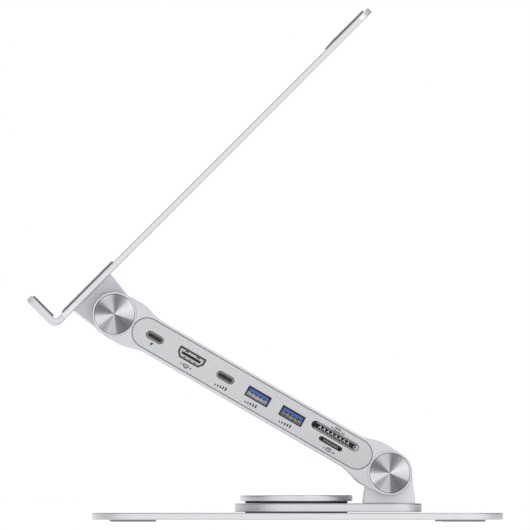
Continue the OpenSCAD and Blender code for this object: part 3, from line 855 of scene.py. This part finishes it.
# a pale floor in each USB-A socket, lightened against the shade inside the shell: painted light; and the ends of its
# plated contacts
bm = bmesh.new()
for p in (A1, A2):
    bm_plate(bm, rrect(p[0] - 5.95, p[1] - 2.2, p[0] + 5.95, p[1] + 0.2, 0.15, 3), boxes(p, [(-4.4, -1.9, 1.0, 0.35), (4.4, -1.9, 1.0, 0.35)]),
             PORT - 4.0, PORT - 2.4, b1=0.1, seg=2, hole_bevel=(0, 0.05), hole_seg=2, M=AS)
smooth(link("usb_a_floor", to_mesh(bm, "usb_a_floor"), PORT_PALE, "arm"), 40)
bm = bmesh.new()
for p in (A1, A2):
    for dx in (-4.3, -2.2, 0, 2.2, 4.3):
        box_bm(bm, p[0] + dx - 0.35, p[0] + dx + 0.35, p[1] - 1.1, p[1] - 0.5, PORT - 4, PORT - 2.25, AS, b=0.06, r=0.1)
smooth(link("usb_a_pins", to_mesh(bm, "usb_a_pins"), GOLD, "arm"), 40)

# card slots: a moulded frame, and the row of contact fingers inside it
sd_in = rrect(SD[0] - 12.2, SD[1] - 1.2, SD[0] + 12.2, SD[1] + 1.2, 0.3, 3)
sd_frame = shell("sd_card_frame", pill(*SD, 27.1, 3.75, 14), sd_in, 26, 0.5, PORT_PALE, "sd_card_slot", AS, lip=0.15)
sd_frame.data.materials.append(BLACK)
sd_frame.data.materials.append(PORT_STEEL)
back = AS.inverted()
for poly in sd_frame.data.polygons:
    c = back @ poly.center
    poly.material_index = 1 if c.x < SD[0] - 9.4 else (2 if c.x < SD[0] + 9.6 else 0)
tf_in = rrect(TF[0] - 5.6, TF[1] - 0.5, TF[0] + 5.6, TF[1] + 0.5, 0.2, 3)
# the micro SD frame is near black: painted shade in the slot
shell("micro_sd_frame", pill(*TF, 13.0, 2.0, 12), tf_in, 15, 0.5, DARK_PORT_SHADE, "micro_sd_slot", AS, lip=0.1)
bm = bmesh.new()
for k in range(8):
    x = SD[0] - 8.9 + 2.35 * k
    pts = [(x - 0.3, SD[1] + 1.0), (x + 0.3, SD[1] + 1.0), (x + 1.0, SD[1] - 0.95), (x + 0.55, SD[1] - 0.95), (x + 0.3, SD[1] - 0.25),
           (x - 0.3, SD[1] - 0.25), (x - 0.55, SD[1] - 0.95), (x - 1.0, SD[1] - 0.95)]
    bm_plate(bm, pts, [], PORT - 6, PORT - 0.45, b1=0.06, seg=2, M=AS)
bm_lathe(bm, [(0, -0.5), (0.95, -0.5)] + rim(0.95, 0.0, 0.15, n=3) + [(0.55, 0.0), (0.45, -0.15), (0, -0.15)], 32,
         AS @ Matrix.Translation((SD[0] + 11.6, SD[1] - 0.1, PORT - 0.3)))
for k in range(9):
    x = TF[0] - 4.0 + 1.0 * k
    box_bm(bm, x - 0.26, x + 0.26, TF[1] - 0.46, TF[1] + 0.42, PORT - 5, PORT - 0.3, AS, b=0.05)
smooth(link("card_contacts", to_mesh(bm, "card_contacts"), CARD_LIGHT, "arm"), 40)
bm = bmesh.new()
bm_plate(bm, rrect(SD[0] - 12.1, SD[1] - 1.15, SD[0] - 10.2, SD[1] + 1.15, 0.5, 4), [circle(SD[0] - 11.1, SD[1], 0.55, 24)], PORT - 6, PORT - 0.5, b1=0.1,
         seg=2, hole_bevel=(0, 0.08), M=AS)
bm_plate(bm, rrect(SD[0] + 8.75, SD[1] - 1.1, SD[0] + 10.4, SD[1] + 1.15, 0.2, 3), [], PORT - 6, PORT - 0.5, b1=0.1, seg=2, M=AS)
bm_plate(bm, circle(SD[0] + 11.6, SD[1] - 0.1, 0.42, 24), [], PORT - 1.2, PORT - 0.38, b1=0.06, seg=2, M=AS)
smooth(link("card_moulding", to_mesh(bm, "card_moulding"), BLACK, "arm"), 40)

# ------------------------------------------------------------------ printed marks, all generic
INK_T = 0.03
bm = bmesh.new()


def ink(loop, holes=()):
    bm_plate(bm, loop, list(holes), FACE - 0.01, FACE + INK_T, M=AS)


def shifted(pts, p):
    return [(p[0] + x, p[1] + y) for x, y in pts]


ink(shifted([(-0.05, 0.95), (0.75, 0.95), (0.3, 0.2), (1.0, 0.2), (-0.75, -1.1), (-0.2, -0.15), (-0.9, -0.15)], (24.2, -4.0)))


def dots(p, xs, r=0.3):
    for dx in xs:
        ink(circle(p[0] + dx, p[1], r, 18))


def level_mark(p):
    """Five bars that grow, for speed."""
    for k in range(5):
        x = p[0] + (k - 2) * 1.5
        ink(rrect(x - 0.38, p[1] - 0.9, x + 0.38, p[1] - 0.9 + 0.75 + 0.27 * k, 0.1, 2))


def screen_mark(p):
    x, y = p
    ink(rrect(x - 1.6, y - 0.55, x + 1.6, y + 0.95, 0.25, 3), [rrect(x - 1.18, y - 0.15, x + 1.18, y + 0.55, 0.1, 2)])
    ink(rrect(x - 0.85, y - 1.1, x + 0.85, y - 0.78, 0.1, 2))
    dots((x, y + 0.15), (-2.75, 2.75), 0.4)


def card_mark(p, w, h):
    x, y = p
    pts = [(-w, -h), (w, -h), (w, h), (-w + 0.5, h), (-w, h - 0.5)]
    inner = [(px * (w - 0.36) / w, py * (h - 0.36) / h) for px, py in pts]
    ink(shifted(pts, p), [shifted(inner, p)])
    for k in (-1, 0, 1):
        ink(rrect(x + k * w * 0.4 - 0.15, y - h * 0.15, x + k * w * 0.4 + 0.15, y + h * 0.5, 0.03, 1))


screen_mark((45.2, -4.9))
for x in (C2[0] + 0.1, A1[0] - 1.4, A2[0] - 1.2):
    level_mark((x, -4.9))
card_mark((129.4, 5.75), 1.7, 1.0)
dots((129.4, 5.45), (-2.9, 2.9, 4.0), 0.4)
card_mark((130.3, -5.4), 1.35, 0.95)
dots((130.3, -5.6), (-2.5, 2.5, 3.5), 0.38)
smooth(link("port_marks", to_mesh(bm, "port_marks"), INK, "arm"), 30)


# ------------------------------------------------------------------ hinge caps
def cap_profile():
    """From the back face round the rim to the middle of the turned face; local Z points outward from the ear."""
    r = 10.35
    pts = [(0, -1.5), (r - 0.1, -1.5), (r, -1.4)]
    pts += rim(r, 0.0, 0.35, n=5)
    pts += [(r - 0.75, 0.0), (r - 0.95, -0.06)]
    # a very shallow turned cone, with three faint steps
    for k in range(1, 25):
        f = k / 24
        rr = (r - 0.95) * (1 - f)
        pts.append((rr, -0.06 - 0.22 * f - (0.01 if k % 2 else 0.0)))
    return pts


for cname, centre, node in (("lower_cap", LOW, "lower_hinge_caps"), ("upper_cap", TOP, "upper_hinge_caps")):
    for side in (-1, 1):
        bm = bmesh.new()
        bm_lathe(bm, cap_profile(), 144, Matrix.Diagonal((MM, MM, MM, 1)))
        me = to_mesh(bm, cname)
        o = bpy.data.objects.new(f"{cname}_{'near' if side < 0 else 'far'}", me)
        bpy.context.scene.collection.objects.link(o)
        me.materials.append(CAP_PAINTED_REFLECTION)
        # local Z outward, local X to the right and local Y up as seen from outside
        if side < 0:
            rot = Matrix(((1, 0, 0), (0, 0, -1), (0, 1, 0))).to_4x4()
        else:
            rot = Matrix(((-1, 0, 0), (0, 0, 1), (0, 1, 0))).to_4x4()
        # each cap's painted reflection is turned a little about its axis
        turn = Matrix.Rotation(math.radians(-4 if cname == "lower_cap" else 1), 4, "Z")
        o.matrix_world = Matrix.Translation((centre.x * MM, side * 29.9 * MM, centre.z * MM)) @ rot @ turn
        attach(o, "arm")
        smooth(o, 25, weighted=True)
    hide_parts(node)

# polished rims pressed into the ears round the caps
bm = bmesh.new()
for centre in (LOW, TOP):
    for side in (-1, 1):
        rot = Matrix(((1, 0, 0), (0, 0, side), (0, 1, 0))).to_4x4()
        M = Matrix.Translation((centre.x * MM, side * 30.0 * MM, centre.z * MM)) @ rot @ Matrix.Diagonal((MM, MM, MM, 1))
        prof = [(10.42, -0.9), (11.36, -0.9)] + rim(11.36, 0.14, 0.2, n=4) + [(r, z) for r, z in [(10.8, 0.14), (10.5, -0.04), (10.42, -0.2)]]
        bm_lathe(bm, prof, 144, M, closed=True)
smooth(link("hinge_rims", to_mesh(bm, "hinge_rims"), RIM, "arm"), 35)
# a painted shadow line: a dark ring filling the gap where each rim meets its ear
bm = bmesh.new()
for centre in (LOW, TOP):
    for side in (-1, 1):
        rot = Matrix(((1, 0, 0), (0, 0, side), (0, 1, 0))).to_4x4()
        M = Matrix.Translation((centre.x * MM, side * 30.0 * MM, centre.z * MM)) @ rot @ Matrix.Diagonal((MM, MM, MM, 1))
        bm_lathe(bm, [(11.34, -0.6), (11.5, -0.6), (11.5, 0.0), (11.46, 0.03), (11.34, 0.03)], 144, M, closed=True)
smooth(link("hinge_shadow_rings", to_mesh(bm, "hinge_shadow_rings"), EDGE_SHADE_PANEL, "arm"), 35)

# ------------------------------------------------------------------ tray
TH, TT = 16.1, 3.1
TTOP = TH + TT
HOOK, HOOK_Y, HOOK_W = 26.7, 42.0, 19.0
S0, S1, TW = -19.7, 201.8, 120.0
slots = [pill(96, (i - 3) * 26, 118, 12, 16) for i in range(7)]


def hook_stations():
    """The bent strip of a hook as stations: place and inner normal in (s, t), half width and half thickness."""
    h, tip = TT / 2, TTOP + 17.9
    cx, cy = -HOOK + 1.5 + TT, TTOP + 1.5
    out = [(S0 + 0.52, TH + h, 0, 1, HOOK_W, h), (S0, TH + h, 0, 1, HOOK_W, h)]
    for k in range(17):
        a = math.radians(270 - 90 * k / 16)
        out.append((cx + (1.5 + h) * math.cos(a), cy + (1.5 + h) * math.sin(a), -math.cos(a), -math.sin(a), HOOK_W, h))
    for k in range(21):
        d = 5.0 * (1 - math.sin(math.radians(90 * k / 20))) + 0.0
        w = HOOK_W - 5 + math.sqrt(max(0.0, 25 - (5 - d) ** 2))
        hh = h if d > 1.3 else h - 1.3 + math.sqrt(max(0.0, 1.69 - (1.3 - d) ** 2))
        out.append((-HOOK + h, tip - d, 1, 0, w, hh))
    return out


def strip_bm(bm, stations, yc, M, seg=4):
    """A sheet strip with rounded edges, swept through its stations. The rounds take material number 1."""
    rings = []
    for ps, pt, ns, nt, w, h in stations:
        r = min(0.5, h * 0.9)
        ring = []
        for sx, sy, a0 in ((1, 1, 0), (-1, 1, 90), (-1, -1, 180), (1, -1, 270)):
            for k in range(seg + 1):
                a = math.radians(a0 + 90 * k / seg)
                y, n = sx * (w - r) + r * math.cos(a), sy * (h - r) + r * math.sin(a)
                ring.append(bm.verts.new(M @ Vector((ps + ns * n, yc + y, pt + nt * n))))
        rings.append(ring)
    count = len(rings[0])
    made = []
    for p, q in zip(rings, rings[1:]):
        for i in range(count):
            j = (i + 1) % count
            f = bm.faces.new((p[i], p[j], q[j], q[i]))
            f.material_index = 1 if i % (seg + 1) < seg else 0
            made.append(f)
    made.append(bm.faces.new(rings[0][::-1]))
    made.append(bm.faces.new(rings[-1]))
    bmesh.ops.recalc_face_normals(bm, faces=made)


bm = bmesh.new()
bm_plate(bm, rrect(S0, -TW, S1, TW, 9, 16), slots, TH, TTOP, b0=0.5, b1=0.5, seg=4, hole_bevel=(0.35, 0.35), hole_seg=3, M=TRAY, edge=1)
for s in (-1, 1):
    strip_bm(bm, hook_stations(), s * HOOK_Y, TRAY)
tray = link("tray_plate_body", to_mesh(bm, "tray_plate_body"), SILVER, "tray", ["tray_plate"])
# the tray's rims and hook rounds take the darker rim silver: painted shade
tray.data.materials.append(EDGE_SHADE_SILVER)
smooth(tray, 35, weighted=True)

mat_r = dict(b0=0.05, b1=0.35, seg=4)
plate("lower_mat_pad", rrect(-17.4, -TW + 10, 17.6, TW - 10, 4, 12), [], TTOP, TTOP + 1.0, RUBBER_GREY, "tray", "grey_mat",
      ["lower_mat"], M=TRAY, **mat_r)
plate("upper_mat_pad", rrect(S1 - 25.4, -TW + 10, S1 - 2.8, TW - 10, 4, 12), [], TTOP, TTOP + 1.0, RUBBER_GREY, "tray",
      "grey_mat", ["upper_mat"], M=TRAY, **mat_r)
bm = bmesh.new()
for s in (-1, 1):
    M = TRAY @ Matrix(((0, 0, 1, TT - HOOK), (1, 0, 0, s * HOOK_Y), (0, 1, 0, TTOP), (0, 0, 0, 1)))
    bm_plate(bm, rrect(3 - HOOK_W, 2.3, HOOK_W - 3, 16.7, 3, 8), [], 0.0, 0.9, M=M, **mat_r)
smooth(link("hook_pads_body", to_mesh(bm, "hook_pads_body"), RUBBER_GREY, "tray", ["hook_pads"]), 40)

# ------------------------------------------------------------------ stage, light, camera
bpy.context.scene.view_settings.view_transform = "Standard"

floor_me = bpy.data.meshes.new("floor")
floor_me.from_pydata([(-60, -60, 0), (60, -60, 0), (60, 60, 0), (-60, 60, 0)], [], [(0, 1, 2, 3)])
floor = bpy.data.objects.new("floor", floor_me)
bpy.context.scene.collection.objects.link(floor)
fm, fnt, fb = new_material("floor")
fv = coords(fnt)
fn = noise(fnt, fv, 900, 3, 0.5)
fnt.links.new(mix(fnt, remap(fnt, fn, 0.3, 0.7, 0, 1), (0.62, 0.62, 0.625), (0.65, 0.65, 0.655)), fb.inputs["Base Color"])
fb.inputs["Roughness"].default_value = 0.9
fb.inputs["Specular IOR Level"].default_value = 0.05
fb.inputs["Emission Color"].default_value = (1, 1, 1, 1)
fb.inputs["Emission Strength"].default_value = 0.55
floor_me.materials.append(fm)

world = bpy.data.worlds.new("studio")
bpy.context.scene.world = world
world.use_nodes = True
wt = world.node_tree
wt.nodes.clear()
wo = wt.nodes.new("ShaderNodeOutputWorld")
bg_light = wt.nodes.new("ShaderNodeBackground")
bg_cam = wt.nodes.new("ShaderNodeBackground")
bg_cam.inputs[0].default_value = (1, 1, 1, 1)
bg_cam.inputs[1].default_value = 1.0
tc = wt.nodes.new("ShaderNodeTexCoord")
sx = wt.nodes.new("ShaderNodeSeparateXYZ")
wt.links.new(tc.outputs["Generated"], sx.inputs[0])
# brightness round the horizon, from behind (-180) over the left, the front (0) and the right to behind
AROUND = [(-180, 0.75), (-150, 0.78), (-122, 0.45), (-98, 0.16), (-78, 0.18), (-56, 0.72), (-34, 0.92), (0, 0.92), (18, 0.84), (36, 0.90), (60, 0.92),
          (80, 0.50), (100, 0.10), (125, 0.04), (145, 0.20), (165, 0.60), (180, 0.75)]
around = maths(wt, "ARCTAN2", sx.outputs[0], maths(wt, "MULTIPLY", sx.outputs[1], -1.0))
ring = wt.nodes.new("ShaderNodeValToRGB")
ring.color_ramp.interpolation = "EASE"
re = ring.color_ramp.elements
re[0].position, re[0].color = 0.0, (AROUND[0][1],) * 3 + (1,)
re[1].position, re[1].color = 1.0, (AROUND[-1][1],) * 3 + (1,)
for a, v in AROUND[1:-1]:
    e = re.new((a + 180) / 360)
    e.color = (v, v, v, 1)
wt.links.new(remap(wt, around, -math.pi, math.pi, 0.0, 1.0), ring.inputs[0])
up = remap(wt, sx.outputs[2], 0.25, 0.95, 0.0, 1.0)
sky = mix(wt, up, ring.outputs[0], (0.78, 0.785, 0.80))
wt.links.new(sky, bg_light.inputs[0])
lp = wt.nodes.new("ShaderNodeLightPath")
mx = wt.nodes.new("ShaderNodeMixShader")
wt.links.new(lp.outputs["Is Camera Ray"], mx.inputs[0])
wt.links.new(bg_light.outputs[0], mx.inputs[1])
wt.links.new(bg_cam.outputs[0], mx.inputs[2])
wt.links.new(mx.outputs[0], wo.inputs[0])


def area_light(name, loc, target, size_m, power, col=(1, 1, 1)):
    l = bpy.data.lights.new(name, "AREA")
    l.shape = "RECTANGLE"
    l.size, l.size_y = size_m
    l.energy = power
    l.color = col
    o = bpy.data.objects.new(name, l)
    bpy.context.scene.collection.objects.link(o)
    o.location = loc
    o.rotation_euler = (Vector(target) - Vector(loc)).to_track_quat("-Z", "Y").to_euler()
    return o


CENTRE = (-0.02, 0.0, 0.12)
area_light("key", (0.85, -1.15, 0.95), CENTRE, (1.0, 1.0), 2.4)
area_light("top", (0.1, 0.2, 1.6), CENTRE, (1.6, 1.2), 3.5)

# the camera stands far off, low down and to the left, so that base and tray are both seen almost edge on
SCALE = 0.515 * MM            # metres per picture point at the object
SHIFT_X, SHIFT_Z = (265 - 297.2) * 0.515, (521.6 - 265) * 0.515
LENS = 1690.0
DIST = 530 * SCALE / 36 * LENS
VAN = (-190.0, 15.0)
cam_data = bpy.data.cameras.new("camera")
cam_data.sensor_width = 36
cam_data.lens = LENS
cam_data.clip_start, cam_data.clip_end = 0.1, 500
cam = bpy.data.objects.new("camera", cam_data)
bpy.context.scene.collection.objects.link(cam)
aim = Vector((SHIFT_X * MM, -HALF_W * MM, SHIFT_Z * MM))
cam.location = (VAN[0] * MM, -HALF_W * MM - DIST, VAN[1] * MM)
cam.rotation_euler = (aim - cam.location).to_track_quat("-Z", "Y").to_euler()
bpy.context.scene.camera = cam

bpy.context.view_layer.update()
